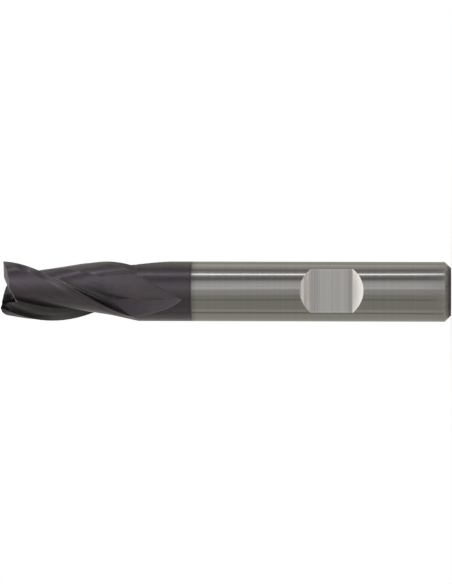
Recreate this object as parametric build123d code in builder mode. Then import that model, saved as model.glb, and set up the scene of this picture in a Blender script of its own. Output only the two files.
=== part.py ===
from build123d import *
import math
import os

os.makedirs("parts", exist_ok=True)

# The tool stands on its shank end: the end face lies on z = 0, the tool axis is Z, the teeth are up
# and the clamping flat faces -Y. Lengths are in millimetres, angles in degrees.

# Shank
overall_length = 75.0
shank_dia = 10.0
shank_chamfer = 1.03
flat_depth = 1.6
flat_width = 6.93
flat_height = 19.8
flat_wall_angle = 41.0

# Teeth and helix
cutting_dia = 9.96
core_dia = 5.4
flute_count = 3
helix_angle = 30.0
first_tooth_turn = -6.6

# Relief ground behind each cutting edge
relief_length = 22.8
relief_fade_angle = 12.0
margin_width = 0.08
land_width = 1.15
land_clearance = 18.0
back_clearance = 31.5
back_radius = 4.4
back_sweep = 48.0

# Flute section, seen square to the axis. The two holds are how long the floor keeps the direction of
# its root and of its heel, as shares of the chord between them.
rake_angle = 10.0
root_radius = 1.3
root_rise = 12.0
heel_width = 1.83
heel_entry_angle = 24.0
root_hold = 0.15
heel_hold = 0.55

# Where the grinding wheel leaves the flute
full_flute_length = 18.0
wheel_radius = 25.7
wheel_sink = 0.4
wheel_lead_angle = 31.0

# End teeth: the long edge reaches the axis, the others start further out
dish_angle = 2.0
end_land_width = 1.0
end_land_clearance = 8.0
end_back_clearance = 24.0
gash_floor_angle = 24.7
gash_radius = 0.62
long_gash_depth = 1.5
long_gash_slope = 17.8
long_gash_sector = 180.0
short_gash_start = 0.45
short_gash_slope = 35.0

# Extra length of the cutting shapes past the metal that they cut
overshoot = 1.0


def polar(radius, angle):
    return Vector(radius * math.cos(math.radians(angle)), radius * math.sin(math.radians(angle)))


def tan(angle):
    return math.tan(math.radians(angle))


# A cubic curve that follows an arc
def rounded(centre, radius, start_angle, end_angle):
    hold = radius * 4 / 3 * tan((end_angle - start_angle) / 4)
    start = centre + polar(radius, start_angle)
    end = centre + polar(radius, end_angle)
    return Bezier(start, start + polar(hold, start_angle + 90), end - polar(hold, end_angle + 90), end)


shank_radius = shank_dia / 2
cutting_radius = cutting_dia / 2
core_radius = core_dia / 2
pitch_angle = 360 / flute_count
helix_lead = math.pi * cutting_dia / tan(helix_angle)


def arc_angle(width):
    return math.degrees(width / cutting_radius)


def tooth_turn(z):
    return first_tooth_turn - (overall_length - z) * 360 / helix_lead


# Relief section of one tooth, cutting edge on +X and the tooth body behind it, clockwise
margin_angle = arc_angle(margin_width)
relief_lead = arc_angle(overshoot / 2)
with BuildSketch() as tooth_section:
    with BuildLine():
        margin = CenterArc((0, 0), cutting_radius, relief_lead, -relief_lead - margin_angle)
        land = PolarLine(margin @ 1, land_width, -90 - margin_angle - land_clearance)
        back_centre = land @ 1 - polar(back_radius, -back_clearance)
        back = rounded(back_centre, back_radius, -back_clearance, -back_clearance - back_sweep)
        Polyline(back @ 1, (0, 0), margin @ 0)
    make_face()
back_end_radius = (back @ 1).length

# The relieved teeth, twisted along the axis
relief_end = overall_length - relief_length
relief_base = relief_end - overshoot
with BuildPart() as relieved_teeth:
    with BuildSketch(Plane.XY.offset(relief_base).rotated((0, 0, tooth_turn(relief_base)))):
        Circle(back_end_radius)
        with PolarLocations(0, flute_count):
            add(tooth_section.sketch)
    with BuildLine(Plane.XY.offset(relief_base)) as relief_helix:
        Helix(helix_lead, overall_length - relief_base, cutting_radius)
    relief_axis = Edge.make_line((0, 0, relief_base), (0, 0, overall_length))
    sweep(path=relief_axis, binormal=relief_helix.edge())

# Flute section, cutting edge on +X and the flute ahead of it, anticlockwise: rake face, rounded root
# and a floor that rises to the heel of the tooth in front
edge_point = Vector(cutting_radius, 0)
rake_in = polar(1, 180 + rake_angle)
root_offset = edge_point + polar(root_radius, 90 + rake_angle)
rake_run = -root_offset.dot(rake_in)
root_reach = core_radius + root_radius
rake_length = rake_run - math.sqrt(rake_run**2 - root_offset.length**2 + root_reach**2)
root_centre = root_offset + rake_in * rake_length
root_low_angle = math.degrees(math.atan2(root_centre.Y, root_centre.X)) - 180
root_end_angle = root_low_angle - root_rise
heel_angle = pitch_angle - arc_angle(heel_width)
heel_point = polar(cutting_radius, heel_angle)
heel_in = polar(1, heel_angle - 90 - heel_entry_angle)
flute_rim = max(shank_radius, cutting_radius) + overshoot
with BuildSketch() as flute_section:
    with BuildLine():
        rake = Line(edge_point - rake_in * overshoot, edge_point + rake_in * rake_length)
        root = rounded(root_centre, root_radius, rake_angle - 90, root_end_angle)
        floor_chord = (heel_point - root @ 1).length
        floor_start = root @ 1 + polar(floor_chord * root_hold, root_end_angle - 90)
        floor_end = heel_point + heel_in * floor_chord * heel_hold
        Bezier(root @ 1, floor_start, floor_end, heel_point)
        Polyline(heel_point, heel_point - heel_in * 2 * overshoot, (flute_rim, flute_rim), rake @ 0)
    make_face()

# The metal under the wheel that the flute leaves uncut: the wheel travels down along the helix and its
# rim lifts the floor out of the shank
lift_height = overall_length - full_flute_length
wheel_turn = tooth_turn(lift_height) + wheel_lead_angle
wheel_out = polar(1, wheel_turn)
wheel_travel = polar(math.sin(math.radians(helix_angle)), wheel_turn - 90)
wheel_travel -= Vector(0, 0, math.cos(math.radians(helix_angle)))
wheel_floor = core_radius - wheel_sink
wheel_centre = wheel_out * (wheel_floor + wheel_radius) + Vector(0, 0, lift_height)
with BuildPart() as uncut_metal:
    with BuildSketch(Plane(origin=wheel_centre, x_dir=wheel_travel, z_dir=wheel_travel.cross(wheel_out))):
        with BuildLine():
            metal_depth = wheel_radius + shank_dia
            CenterArc((0, 0), wheel_radius, -90, 90)
            Polyline((0, -wheel_radius), (0, -metal_depth), (wheel_radius, -metal_depth), (wheel_radius, 0))
        make_face()
    extrude(amount=shank_dia, both=True)

# One flute, twisted along the axis down to where the wheel has left the metal
wheel_chord = math.sqrt(wheel_radius**2 - (wheel_radius + wheel_floor - shank_radius) ** 2)
flute_base = lift_height - wheel_chord / math.cos(math.radians(helix_angle)) - 2 * overshoot
flute_top = overall_length + overshoot
with BuildPart() as flute:
    with BuildSketch(Plane.XY.offset(flute_base).rotated((0, 0, tooth_turn(flute_base)))):
        add(flute_section.sketch)
    with BuildLine(Plane.XY.offset(flute_base)) as flute_helix:
        Helix(helix_lead, flute_top - flute_base, cutting_radius)
    sweep(path=Edge.make_line((0, 0, flute_base), (0, 0, flute_top)), binormal=flute_helix.edge())
    add(uncut_metal.part, mode=Mode.SUBTRACT)

# End relief of one tooth, edge along +X: a narrow and a steeper facet fall away behind the edge, which
# itself sinks towards the axis
edge_in = Vector(-1, 0, -tan(dish_angle)).normalized()
edge_outside = Vector(cutting_radius, 0, overall_length) - edge_in * overshoot
end_land_drop = end_land_width * tan(end_land_clearance)
end_back_drop = end_land_drop + (cutting_dia - end_land_width) * tan(end_back_clearance)
with BuildPart() as end_relief:
    with BuildSketch(Plane(origin=edge_outside, x_dir=(0, -1, 0), z_dir=edge_in)):
        with BuildLine():
            Polyline(
                (0, overshoot),
                (0, 0),
                (end_land_width, -end_land_drop),
                (cutting_dia, -end_back_drop),
                (cutting_dia, overshoot),
                close=True,
            )
        make_face()
    extrude(amount=2 * cutting_dia)
    split(bisect_by=Plane(origin=(0, 0, 0), z_dir=polar(1, 90 - pitch_angle)), keep=Keep.TOP)


# Gash ahead of one end tooth, edge along +X: its wall stands under the edge, its floor rises forwards
# and its lowest line, at the given depth on the axis, falls outwards
def end_gash(axis_depth, slope, sector):
    lowest_line = Vector(1, 0, -tan(slope))
    on_axis = (0, 0, overall_length - axis_depth)
    floor_end = (cutting_dia, cutting_dia * tan(gash_floor_angle))
    with BuildPart() as gash:
        with BuildSketch(Plane(origin=on_axis, x_dir=(0, 1, 0), z_dir=lowest_line)) as notch:
            with BuildLine():
                Polyline((0, 0), floor_end, (cutting_dia, cutting_dia), (0, cutting_dia), close=True)
            make_face()
            fillet(notch.vertices().sort_by_distance((0, 0))[0], gash_radius)
        extrude(amount=cutting_dia, both=True)
        split(bisect_by=Plane(origin=(0, 0, 0), z_dir=polar(1, sector - 90)), keep=Keep.TOP)
    return gash.part


long_gash = end_gash(long_gash_depth, long_gash_slope, long_gash_sector)
short_gash = end_gash(-short_gash_start * tan(short_gash_slope), short_gash_slope, pitch_angle)

with BuildPart() as end_mill:
    # Shank, with a long cone under the teeth where their relief runs out
    relief_fade = (shank_radius - back_end_radius) / tan(relief_fade_angle)
    with BuildSketch(Plane.XZ):
        with BuildLine():
            Polyline(
                (0, 0),
                (shank_radius, 0),
                (shank_radius, relief_end),
                (back_end_radius, relief_end + relief_fade),
                (0, relief_end + relief_fade),
                close=True,
            )
        make_face()
    revolve(axis=Axis.Z)
    chamfer(edges().group_by(Axis.Z)[0], length=shank_chamfer)
    add(relieved_teeth.part)
    with PolarLocations(0, flute_count):
        add(flute.part, mode=Mode.SUBTRACT)

    # Clamping flat with sloping end walls
    wall_run = flat_depth / tan(flat_wall_angle)
    flat_middle = (0, flat_depth - shank_radius, flat_height)
    with BuildSketch(Plane(origin=flat_middle, x_dir=(0, 1, 0), z_dir=(1, 0, 0))):
        with BuildLine():
            Polyline(
                (0, -flat_width / 2),
                (0, flat_width / 2),
                (-2 * flat_depth, flat_width / 2 + 2 * wall_run),
                (-2 * flat_depth, -flat_width / 2 - 2 * wall_run),
                close=True,
            )
        make_face()
    extrude(amount=shank_radius, both=True, mode=Mode.SUBTRACT)

    # End teeth: the relief of each, then the long gash that crosses the axis and the short ones
    with PolarLocations(0, flute_count, start_angle=first_tooth_turn) as tooth_places:
        add(end_relief.part, mode=Mode.SUBTRACT)
    *short_places, long_place = tooth_places.locations
    with Locations(short_places):
        add(short_gash, mode=Mode.SUBTRACT)
    with Locations(long_place):
        add(long_gash, mode=Mode.SUBTRACT)

end_mill.part.label = "end_mill"
export_step(end_mill.part, "parts/end_mill.step")
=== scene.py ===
import math

import bmesh
import bpy
from mathutils import Matrix, Vector

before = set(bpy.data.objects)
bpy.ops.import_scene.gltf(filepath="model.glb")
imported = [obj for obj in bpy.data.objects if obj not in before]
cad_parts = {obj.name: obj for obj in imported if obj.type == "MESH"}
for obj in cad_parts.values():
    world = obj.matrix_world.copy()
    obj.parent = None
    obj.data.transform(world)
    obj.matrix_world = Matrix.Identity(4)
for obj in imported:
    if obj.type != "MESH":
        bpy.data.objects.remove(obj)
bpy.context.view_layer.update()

scene = bpy.context.scene
scene.view_settings.view_transform = "Standard"
mm = 0.001


# A value in a shader: Python's operators on it add Math nodes
class Value:
    def __init__(self, graph, socket):
        self.graph = graph
        self.socket = socket

    def __add__(self, other):
        return self.graph.math("ADD", self, other)

    def __sub__(self, other):
        return self.graph.math("SUBTRACT", self, other)

    def __rsub__(self, other):
        return self.graph.math("SUBTRACT", other, self)

    def __mul__(self, other):
        return self.graph.math("MULTIPLY", self, other)

    def __truediv__(self, other):
        return self.graph.math("DIVIDE", self, other)

    __radd__ = __add__
    __rmul__ = __mul__


# A node tree that is written as expressions
class Graph:
    def __init__(self, tree):
        self.tree = tree
        tree.nodes.clear()

    def feed(self, socket, value):
        if isinstance(value, Value):
            self.tree.links.new(value.socket, socket)
        elif isinstance(value, tuple) and len(value) == 3 and socket.type == "RGBA":
            socket.default_value = (*value, 1)
        else:
            socket.default_value = value

    def add(self, kind, settings=None, inputs=None, output=0):
        node = self.tree.nodes.new("ShaderNode" + kind)
        for name, value in (settings or {}).items():
            setattr(node, name, value)
        for name, value in (inputs or {}).items():
            self.feed(node.inputs[name], value)
        return Value(self, node.outputs[output]) if node.outputs else node

    def math(self, operation, *values):
        return self.add("Math", {"operation": operation}, dict(enumerate(values)))

    def rise(self, value, low, high):
        settings = {"interpolation_type": "SMOOTHSTEP"}
        return self.add("MapRange", settings, {"Value": value, "From Min": low, "From Max": high})

    def fall(self, value, low, high):
        return 1 - self.rise(value, low, high)

    def within(self, value, low, high, edge):
        before = self.rise(value, low - edge / 2, low + edge / 2)
        return before * self.fall(value, high - edge / 2, high + edge / 2)

    def bands(self, value, level, bands):
        for band in bands:
            level = level + self.within(value, band["from"], band["to"], band["edge"]) * band["add"]
        return level

    def tint(self, amount, first, second):
        return self.add("Mix", {"data_type": "RGBA"}, {0: amount, 6: first, 7: second}, output=2)

    def scaled(self, vector, amount):
        return self.add("VectorMath", {"operation": "SCALE"}, {0: vector, "Scale": amount})

    def parts(self, vector):
        return [self.add("SeparateXYZ", {}, {0: vector}, output=i) for i in range(3)]

    def turned(self, vector, angle):
        return self.add("VectorRotate", {"rotation_type": "Z_AXIS"}, {"Vector": vector, "Angle": angle})

    def noise(self, vector, scale, detail, roughness):
        inputs = {"Vector": vector, "Scale": scale, "Detail": detail, "Roughness": roughness}
        return self.add("TexNoise", {"noise_dimensions": "3D"}, inputs)

    def lines(self, along, scale, detail, roughness):
        inputs = {"W": along, "Scale": scale, "Detail": detail, "Roughness": roughness}
        return self.add("TexNoise", {"noise_dimensions": "1D"}, inputs) - 0.5


# Camera: the picture has the tool lying down, teeth to the left, so the camera is rolled a quarter turn
view = {
    "width": 452,
    "height": 584,
    "pixelsPerMm": 5.985,
    "distance": 600 * mm,
    "facing": -92.1,        # degrees round the tool, from +X towards +Y
    "eyeHeight": 3.8 * mm,
    "shankEndColumn": 450.9,
    "axisRow": 291.4,
    "roll": 0.127,
    "sensor": 36.0,
    "clip": (0.05, 10),
}
out = Vector((math.cos(math.radians(view["facing"])), math.sin(math.radians(view["facing"])), 0))


def placeCamera():
    middle = (view["shankEndColumn"] - view["width"] / 2) / view["pixelsPerMm"] * mm
    eye = out * view["distance"] + Vector((0, 0, view["eyeHeight"]))
    back = (eye - Vector((0, 0, middle))).normalized()
    right = Vector((0, 0, -1))
    right = (right - back * right.dot(back)).normalized()
    up = back.cross(right)
    eye -= up * (view["height"] / 2 - view["axisRow"]) / view["pixelsPerMm"] * mm
    turned = Matrix((right, up, back)).transposed() @ Matrix.Rotation(math.radians(view["roll"]), 3, "Z")
    data = bpy.data.cameras.new("camera")
    data.sensor_width = view["sensor"]
    data.lens = view["sensor"] * view["pixelsPerMm"] * view["distance"] / mm / view["height"]
    data.clip_start, data.clip_end = view["clip"]
    camera = bpy.data.objects.new("camera", data)
    camera.matrix_world = Matrix.Translation(eye) @ turned.to_4x4()
    scene.collection.objects.link(camera)
    scene.camera = camera
    print("camera placed, lens", round(data.lens, 1))


# Light tent: upright panels round the tool, by their angle from the front, and a soft box overhead
tent = {
    "wall": 0.455,
    "upperTint": (1.0, 0.995, 0.97),
    "lowerTint": (1.0, 0.965, 0.87),
    "backTint": (1.0, 0.975, 0.87),
    "panels": [
        {"from": -12, "to": 16, "edge": 2, "add": 0.15},       # in front, up to the height of the eye
        {"from": 10, "to": 44, "edge": 9, "add": 0.43},        # in front, above
        {"from": 33, "to": 60, "edge": 2, "add": -0.18},
        {"from": 69.5, "to": 74, "edge": 6, "add": 3.0},       # narrow strip light
        {"from": 86, "to": 96, "edge": 2, "add": -0.14},
        {"from": 107, "to": 180, "edge": 29, "add": 0.37},     # behind, above
        {"from": 126, "to": 180, "edge": 10, "add": -0.3},
        {"from": -34, "to": -30.5, "edge": 4, "add": -0.25},   # gap between two panels below
        {"from": -87.5, "to": -77, "edge": 8, "add": 0.17},
        {"from": -98, "to": -91, "edge": 5, "add": -0.19},
        {"from": -180, "to": -97, "edge": 7, "add": 0.11},     # behind, below
    ],
    "upperFrom": -12,
    "upperTo": 2,
    "backFrom": 84,
    "backTo": 100,
    "roofFrom": 52,
    "roofTo": 66,
    "roof": (2.3, 2.25, 2.2),
}


def lightTent():
    world = bpy.data.worlds.new("lightTent")
    scene.world = world
    world.use_nodes = True
    graph = Graph(world.node_tree)
    x, y, z = graph.parts(graph.add("TexCoord"))
    ahead = x * out.x + y * out.y
    upward = y * out.x - x * out.y
    turn = graph.math("ARCTAN2", upward, ahead) * math.degrees(1)
    height = graph.math("ARCSINE", z) * math.degrees(1)
    level = graph.bands(turn, tent["wall"], tent["panels"])
    upper = graph.rise(turn, tent["upperFrom"], tent["upperTo"])
    behind = graph.rise(turn, tent["backFrom"], tent["backTo"])
    tint = graph.tint(behind, graph.tint(upper, tent["lowerTint"], tent["upperTint"]), tent["backTint"])
    overhead = graph.rise(height, tent["roofFrom"], tent["roofTo"])
    seen = graph.tint(overhead, graph.scaled(tint, level), tent["roof"])
    background = graph.tint(graph.add("LightPath"), seen, (1, 1, 1))
    graph.add("OutputWorld", {}, {"Surface": graph.add("Background", {}, {"Color": background})})
    print("light tent up")


# Floor: white, with only the soft shadow round the foot of the tool
floorSheet = {
    "radius": 120 * mm,
    "corners": 96,
    "below": 0.02 * mm,
    "colour": (0.86, 0.86, 0.85),
    "mirrored": (0.36, 0.35, 0.32),         # further out, as the ground metal mirrors it
    "mirroredFrom": 25 * mm,
    "mirroredTo": 60 * mm,
    "shadowFrom": 8 * mm,
    "shadowTo": 34 * mm,
    "shadowShare": 0.3,
}


def layFloor():
    mesh = bmesh.new()
    bmesh.ops.create_circle(mesh, cap_ends=True, segments=floorSheet["corners"], radius=floorSheet["radius"])
    bmesh.ops.translate(mesh, verts=mesh.verts, vec=(0, 0, -floorSheet["below"]))
    data = bpy.data.meshes.new("floor")
    mesh.to_mesh(data)
    mesh.free()
    floor = bpy.data.objects.new("floor", data)
    scene.collection.objects.link(floor)
    material = bpy.data.materials.new("floorPaper")
    material.use_nodes = True
    graph = Graph(material.node_tree)
    place = graph.add("TexCoord", output="Object")
    distance = graph.add("VectorMath", {"operation": "LENGTH"}, {0: place}, output="Value")
    near = graph.fall(distance, floorSheet["shadowFrom"], floorSheet["shadowTo"])
    white = graph.add("LightPath") * (1 - near * floorSheet["shadowShare"])
    mirrored = graph.rise(distance, floorSheet["mirroredFrom"], floorSheet["mirroredTo"])
    mirrored = mirrored * graph.add("LightPath", output="Is Glossy Ray")
    colour = graph.tint(mirrored, floorSheet["colour"], floorSheet["mirrored"])
    paper = graph.add("BsdfDiffuse", {}, {"Color": colour})
    glow = graph.add("Emission", {}, {"Color": (1, 1, 1)})
    graph.add("OutputMaterial", {}, {"Surface": graph.add("MixShader", {}, {0: white, 1: paper, 2: glow})})
    data.materials.append(material)
    print("floor laid")


# The tool's own sizes that its finish follows, in mm and degrees. In the settings from here on, two numbers
# in brackets are where a change begins and ends, and three that are no colour are a band's two ends and the
# width of its edges.
tool = {
    "length": 75.0,
    "cuttingDia": 9.96,
    "teeth": 3,
    "helix": 30.0,
    "firstTooth": -6.6,
    "litSide": -92.1,           # side that the light falls on
    "trailing": 30,             # degrees behind a cutting edge that are counted from it
    "rings": {"scale": 1.3, "detail": 4.0, "roughness": 0.75},
}
helixTurn = 360 * math.tan(math.radians(tool["helix"])) / (math.pi * tool["cuttingDia"])    # degrees per mm
pitch = 360 / tool["teeth"]


# Where a point of the tool is, in mm and degrees, and the marks that run over the whole tool
class Place:
    def __init__(self, graph):
        self.point = graph.add("TexCoord", output="Object")
        self.x, self.y, self.z = (part / mm for part in graph.parts(self.point))
        self.radius = graph.math("SQRT", self.x * self.x + self.y * self.y)
        lit = math.radians(tool["litSide"])
        self.up = self.y * math.cos(lit) - self.x * math.sin(lit)
        turn = (self.z - tool["length"]) * helixTurn + tool["firstTooth"]
        self.twisted = graph.turned(self.point, turn * -math.radians(1))
        across, forward, _ = graph.parts(self.twisted)
        fromFirst = graph.math("ARCTAN2", forward, across) * math.degrees(1)
        self.ahead = self.fromNearest(graph, fromFirst, tool["trailing"])
        self.rings = graph.lines(self.z, **tool["rings"])

    # The same angle in each tooth's own pitch, which starts the given angle before it
    def fromNearest(self, graph, angle, before):
        return graph.math("FLOORED_MODULO", angle + before, pitch) - before


# Bare shank, with fine rings that the grinding wheel left round it
shank = {
    "colour": (0.345, 0.338, 0.334),
    "roughness": 0.13,
    "ringShade": 0.13,
    "ringRoughness": 0.08,
    "scratches": {"scale": 9.0, "detail": 2.0, "roughness": 0.6},
    "scratchShade": 0.09,
    "neck": (42.1, 43.1),       # stained towards the coating
    "neckDarker": 0.2,
}


def shankFinish(graph, place):
    scratches = graph.lines(place.z, **shank["scratches"])
    shade = 1 + place.rings * shank["ringShade"] + scratches * shank["scratchShade"]
    shade = shade - graph.rise(place.z, *shank["neck"]) * shank["neckDarker"]
    return graph.scaled(shank["colour"], shade), shank["roughness"] + place.rings * shank["ringRoughness"]


# Clamping flat, ground across, and its two sloping end walls
clampingFlat = {
    "colour": (0.51, 0.502, 0.505),
    "roughness": 0.3,
    "wallColour": (0.56, 0.54, 0.522),
    "wallRoughness": 0.42,
    "carvedRadius": (4.93, 4.975),          # under this the shank is ground away
    "carvedHeights": (14.0, 25.5, 0.2),
    "bottomHeights": (16.33, 23.27, 0.04),
    "shade": 0.86,
    "middle": [{"from": 17.2, "to": 22.0, "edge": 0.8, "add": 0.14}],
    "passes": {"scale": 0.75, "detail": 5.0, "roughness": 0.8},
    "passShade": 0.25,
    "strokes": {"scale": 3.6, "detail": 3.0, "roughness": 0.75},
    "strokeShade": 0.6,
    "wallStrokeShade": 0.3,
    "side": (3.25, 3.6),                    # lighter where it meets the round shank
    "sideShade": 0.16,
    "wallSideShade": 0.12,
    "wallPassesAndShade": [
        # painted shade: the wall darker towards its crease with the flat's floor
        {"from": 15.6, "to": 16.4, "edge": 0.7, "add": -0.16},
        {"from": 23.57, "to": 23.89, "edge": 0.1, "add": 0.2},
        {"from": 23.9, "to": 24.2, "edge": 0.1, "add": 0.06},
        {"from": 24.38, "to": 24.87, "edge": 0.1, "add": 0.36},
        {"from": 24.88, "to": 26.0, "edge": 0.08, "add": -0.17},
    ],
}


def flatFinish(graph, place, colour, rough):
    flat = clampingFlat
    carved = graph.fall(place.radius, *flat["carvedRadius"]) * graph.within(place.z, *flat["carvedHeights"])
    passes = graph.lines(place.z, **flat["passes"])
    strokes = graph.lines(place.z, **flat["strokes"])
    sides = graph.rise(graph.math("ABSOLUTE", place.x), *flat["side"])
    shade = graph.bands(place.z, flat["shade"], flat["middle"]) + passes * flat["passShade"]
    shade = shade + strokes * flat["strokeShade"] + sides * flat["sideShade"]
    wallShade = graph.bands(place.z, 1, flat["wallPassesAndShade"])
    wallShade = wallShade + strokes * flat["wallStrokeShade"] + sides * flat["wallSideShade"]
    wall = graph.scaled(flat["wallColour"], wallShade)
    bottom = graph.within(place.z, *flat["bottomHeights"])
    ground = graph.tint(bottom, wall, graph.scaled(flat["colour"], shade))
    groundRough = flat["wallRoughness"] + bottom * (flat["roughness"] - flat["wallRoughness"])
    return graph.tint(carved, colour, ground), rough + carved * (groundRough - rough)


# Chamfer at the shank's end: dark and patchy, darkest at its bottom edge and lighter towards the shank
chamfer = {
    "bottom": (0.02, 0.05),
    "top": (0.97, 1.03),
    "dark": (0.265, 0.23, 0.205),
    "light": (0.345, 0.322, 0.295),
    "patches": {"scale": 1.4, "detail": 3.0, "roughness": 0.6},
    "patchStretch": 0.4,
    "patchLevel": (0.42, 0.62),
    "patchShare": 0.4,
    "lightHeights": (0.3, 0.6),     # lighter towards the shank
    "lightShare": 0.6,
    "rougher": 0.25,
}


def chamferFinish(graph, place, colour, rough):
    spot = graph.add("CombineXYZ", {}, {0: place.x, 1: place.radius, 2: place.z * chamfer["patchStretch"]})
    patches = graph.noise(spot, **chamfer["patches"])
    patches = graph.rise(patches, *chamfer["patchLevel"]) * chamfer["patchShare"]
    patches = patches + graph.rise(place.z, *chamfer["lightHeights"]) * chamfer["lightShare"]
    dull = graph.tint(patches, chamfer["dark"], chamfer["light"])
    onChamfer = graph.fall(place.z, *chamfer["top"]) * graph.rise(place.z, *chamfer["bottom"])
    return graph.tint(onChamfer, colour, dull), rough + onChamfer * chamfer["rougher"]


# Painted shade and light in a flute: painted shade darkest at the foot of the rake face, painted light at
# the heel, with a painted highlight rim at the cutting edge. Angles are degrees ahead of the nearest cutting
# edge.
flute = {
    "radius": (4.86, 4.97),
    "rakeShade": 0.65,
    "heelShade": 1.15,
    "rakeAngles": (-7, -3),
    "rootAngles": (16, 36),
    "rakeHeights": (51, 58),
    "clearHeights": (60, 68),       # over these the rake face gets lighter
    "clearShade": 0.55,
    "footAngles": (-4, 8, 6),
    "footRadius": (3.2, 4.0),
    "footDarker": 0.15,
    "rimAngles": (-4.5, 0.5, 2),
    "rimRadius": (3.4, 4.0),
    "rimShade": 0.15,
    "rimClearShade": 0.65,
    "litUp": (0.1, 1.9, 1.2),
    "litHeights": (61, 65),
    "litShade": 0.45,
    "tipUp": (-1.8, -1.2),
    "tipHeights": (74.0, 74.4),
    "tipShade": 0.35,
}


def paintedFluteShade(graph, place):
    beside = graph.rise(place.ahead, *flute["rakeAngles"]) * graph.fall(place.ahead, *flute["rootAngles"])
    beside = beside * graph.rise(place.z, *flute["rakeHeights"])
    clear = graph.rise(place.z, *flute["clearHeights"])
    rakeShade = flute["rakeShade"] + clear * flute["clearShade"]
    shade = flute["heelShade"] - beside * (flute["heelShade"] - rakeShade)
    foot = graph.within(place.ahead, *flute["footAngles"]) * graph.fall(place.radius, *flute["footRadius"])
    rim = graph.within(place.ahead, *flute["rimAngles"]) * graph.rise(place.radius, *flute["rimRadius"])
    # painted light on the side the light falls on, and on the tip's end
    lit = graph.within(place.up, *flute["litUp"]) * graph.rise(place.z, *flute["litHeights"])
    tip = graph.rise(place.up, *flute["tipUp"]) * graph.rise(place.z, *flute["tipHeights"])
    shade = shade - foot * flute["footDarker"] + rim * (flute["rimShade"] + clear * flute["rimClearShade"])
    return shade + lit * flute["litShade"] + tip * flute["tipShade"], beside


# Run-out of a flute: painted light on the floor left beside the surface that the wheel's rim cut as it left
# along the helix gives the run-out one even tone, with painted shade on its side away from the light
runOut = {
    "height": 57.0,             # where the wheel begins to leave
    "wheelRadius": 25.7,
    "floorRadius": 2.3,
    "lead": 31.0,               # from the cutting edge to the side on which it leaves
    "skin": (0.02, 0.06),
    "wheelShade": 0.93,
    "shade": 1.5,
    "deepRadius": 4.9,
    "deepShade": 0.2,
    "crease": (0, 0.6),
    "creaseShade": 0.3,
    "farUp": (0.8, 3.4),
    "farDarker": 0.34,
    "heights": (55.5, 59.5),
    "roughness": 0.5,
}


def paintedRunOutLight(graph, place, shade, beside):
    side = tool["firstTooth"] - (tool["length"] - runOut["height"]) * helixTurn + runOut["lead"]
    turn = graph.math("ARCTAN2", place.y, place.x) * math.degrees(1) - side
    turn = place.fromNearest(graph, turn, pitch / 2) * math.radians(1)
    helix = math.radians(tool["helix"])
    outward = place.radius * graph.math("COSINE", turn) - runOut["floorRadius"] - runOut["wheelRadius"]
    along = place.radius * graph.math("SINE", turn) * -math.sin(helix)
    along = along - (place.z - runOut["height"]) * math.cos(helix)
    offWheel = graph.math("SQRT", outward * outward + along * along) - runOut["wheelRadius"]
    offWheel = graph.math("ABSOLUTE", offWheel)
    onWheel = graph.fall(offWheel, *runOut["skin"])
    evenedLight = runOut["shade"] + (runOut["deepRadius"] - place.radius) * runOut["deepShade"]
    evenedLight = evenedLight + graph.fall(offWheel, *runOut["crease"]) * runOut["creaseShade"]
    # painted shade on the run-out's side away from the light
    evenedLight = evenedLight * (1 - graph.rise(place.up, *runOut["farUp"]) * runOut["farDarker"])
    evenedLight = evenedLight + onWheel * (runOut["wheelShade"] - evenedLight)
    low = graph.fall(place.z, *runOut["heights"])
    return shade + low * graph.math("MAXIMUM", 1 - beside, onWheel) * (evenedLight - shade), low


# Long gash between the end teeth, ahead of the second tooth: painted shade inside, as on the tooth's outer
# corner, with a painted highlight line where its floor meets the first tooth's back. X runs along the second
# tooth's edge and
# Y ahead of it.
gash = {
    "depth": 1.5,
    "slope": 17.8,
    "rimSlope": 0.42,
    "rimAbove": 0.04,
    "wallY": (-0.32, 0.6, 0.06),
    "wallAbove": (0.08, 0.14),
    "wallDarker": 0.9,
    "axisX": (0.8, 1.3),            # less dark near the axis
    "axisShare": 0.45,
    "cornerX": (2.7, 3.3),
    "cornerY": (-1.0, 0.02, 0.05),
    "cornerAbove": (1.5, 1.9),
    "cornerShare": 0.7,
    "lineX": (2.5, 2.95, 0.12),
    "lineY": (-0.32, 2.15, 0.1),
    "lineAbove": (-0.09, 0.09, 0.05),
    "lineShade": 1.7,
    "nearY": (0.9, 1.5),
    "nearShade": 2.8,
    "middleY": (0.2, 1.1, 0.2),
    "middleShade": 2.2,
}


def paintedGashShade(graph, place):
    x, y, _ = graph.parts(graph.turned(place.point, math.radians(pitch - tool["firstTooth"])))
    x, y = x / mm, y / mm
    above = place.z - (tool["length"] - gash["depth"]) + x * math.tan(math.radians(gash["slope"]))
    aboveRim = above - y * gash["rimSlope"] - gash["rimAbove"]
    # painted shade inside the gash and on the tooth's outer corner
    dark = graph.within(y, *gash["wallY"]) * graph.rise(aboveRim, *gash["wallAbove"])
    dark = dark * (gash["axisShare"] + graph.rise(x, *gash["axisX"]) * (1 - gash["axisShare"]))
    corner = graph.rise(x, *gash["cornerX"]) * graph.within(y, *gash["cornerY"])
    corner = corner * graph.rise(above, *gash["cornerAbove"])
    dark = graph.math("MAXIMUM", dark, corner * gash["cornerShare"])
    # painted highlight along the rim of the gash floor
    line = graph.within(x, *gash["lineX"]) * graph.within(y, *gash["lineY"])
    line = line * graph.within(aboveRim, *gash["lineAbove"])
    bright = gash["lineShade"] + graph.fall(y, *gash["nearY"]) * gash["nearShade"]
    bright = bright + graph.within(y, *gash["middleY"]) * gash["middleShade"]
    return 1 - dark * gash["wallDarker"] + line * bright, dark


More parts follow.
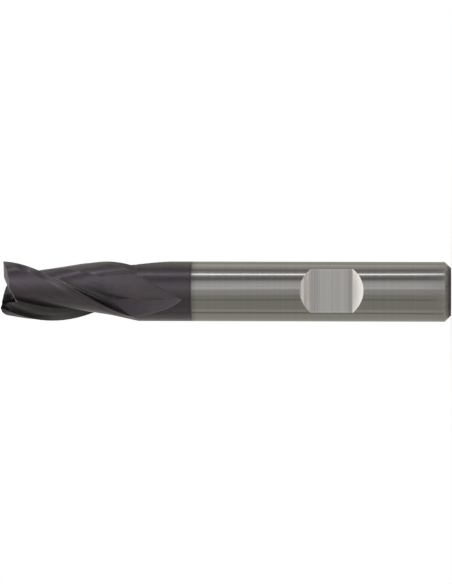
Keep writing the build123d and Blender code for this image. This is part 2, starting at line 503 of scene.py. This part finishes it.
# Coating over the teeth and neck, with grinding lines that run with the helix and show through it
coating = {
    "heights": (42.935, 43.285),
    "colour": (0.084, 0.073, 0.088),
    # painted shade: a greyer copy of the coating colour for the shaded rake band
    "shadedRakeColour": (0.078, 0.075, 0.078),
    "roughness": 0.33,
    "fluteRoughness": 0.34,
    "gloss": 0.33,
    "glossRoughness": 0.13,
    "tipLessGloss": 0.65,
    "grooves": {"scale": 3.2, "detail": 4.0, "roughness": 0.7},
    "grooveStretch": 0.06,
    "grooveShade": 0.7,
    "grooveRoughness": 0.08,
    "mottle": {"scale": 0.9, "detail": 3.0, "roughness": 0.5},
    "mottleShade": 0.3,
    "mottleRoughness": 0.06,
    "ringShade": 0.25,
    "thinColour": (0.08, 0.085, 0.097),     # bluish, where the coating is thin
    "thinHeights": (43.5, 44.4, 0.4),
    "thinShare": 0.35,
    "rimColour": (0.07, 0.045, 0.035),      # the brown line where the coating ends
    "rimHeights": (43.28, 43.48, 0.1),
    "rimShare": 0.5,
}


def coatingFinish(graph, place):
    stretch = (1 / mm, 1 / mm, coating["grooveStretch"] / mm)
    stretched = graph.add("VectorMath", {"operation": "MULTIPLY"}, {0: place.twisted, 1: stretch})
    grooves = graph.noise(stretched, **coating["grooves"]) - 0.5
    mottle = graph.noise(graph.scaled(place.point, 1 / mm), **coating["mottle"]) - 0.5
    inFlute = graph.fall(place.radius, *flute["radius"])
    inside, beside = paintedFluteShade(graph, place)
    inside, low = paintedRunOutLight(graph, place, inside, beside)
    gashTone, inGash = paintedGashShade(graph, place)
    shade = 1 + grooves * inFlute * coating["grooveShade"] + mottle * coating["mottleShade"]
    shade = shade + place.rings * (1 - inFlute) * coating["ringShade"]
    # painted shade and light of the flutes, run-outs and gash darken and lighten the coating here
    shade = shade * (1 + inFlute * (inside * gashTone - 1))
    tone = graph.tint(beside * inFlute * (1 - low), coating["colour"], coating["shadedRakeColour"])
    colour = graph.scaled(tone, shade)
    thin = graph.within(place.z, *coating["thinHeights"])
    colour = graph.tint(thin * coating["thinShare"], colour, coating["thinColour"])
    rim = graph.within(place.z, *coating["rimHeights"])
    colour = graph.tint(rim * coating["rimShare"], colour, coating["rimColour"])
    fluteRough = coating["fluteRoughness"] + low * (runOut["roughness"] - coating["fluteRoughness"])
    fluteRough = fluteRough + grooves * coating["grooveRoughness"]
    rough = coating["roughness"] + inFlute * (fluteRough - coating["roughness"])
    rough = rough + mottle * coating["mottleRoughness"]
    gloss = coating["gloss"] * (1 - graph.rise(place.z, *flute["clearHeights"]) * coating["tipLessGloss"])
    return colour, rough, gloss * (1 - inGash), inGash


# Edges: a thin light line where two ground faces meet, partly wear and partly a painted highlight where
# edges catch the light
edgeWearAndGlint = {
    "width": 0.07 * mm,
    "rays": 6,
    "turned": (0.004, 0.05),
    "colour": (0.42, 0.41, 0.42),
    "share": 0.25,
    "coatedShare": 0.3,
}


def toolFinish():
    material = bpy.data.materials.new("groundCarbide")
    material.use_nodes = True
    graph = Graph(material.node_tree)
    place = Place(graph)
    colour, rough = shankFinish(graph, place)
    colour, rough = flatFinish(graph, place, colour, rough)
    colour, rough = chamferFinish(graph, place, colour, rough)
    coatedColour, coatedRough, gloss, inGash = coatingFinish(graph, place)
    coated = graph.rise(place.z, *coating["heights"])
    colour = graph.tint(coated, colour, coatedColour)
    bevel = graph.add("Bevel", {"samples": edgeWearAndGlint["rays"]}, {"Radius": edgeWearAndGlint["width"]})
    normal = graph.add("NewGeometry", output="Normal")
    facing = graph.add("VectorMath", {"operation": "DOT_PRODUCT"}, {0: bevel, 1: normal}, output="Value")
    wearAndGlint = graph.rise(1 - facing, *edgeWearAndGlint["turned"])
    wearAndGlint = wearAndGlint * (1 - inGash) * (edgeWearAndGlint["share"] + coated * edgeWearAndGlint["coatedShare"])
    shine = {
        "Base Color": graph.tint(wearAndGlint, colour, edgeWearAndGlint["colour"]),
        "Metallic": 1.0,
        "Roughness": rough + coated * (coatedRough - rough),
        "Coat Weight": coated * gloss,
        "Coat Roughness": coating["glossRoughness"],
    }
    graph.add("OutputMaterial", {}, {"Surface": graph.add("BsdfPrincipled", {}, shine)})
    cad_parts["end_mill"].material_slots[0].material = material
    print("tool finished")


placeCamera()
lightTent()
layFloor()
toolFinish()
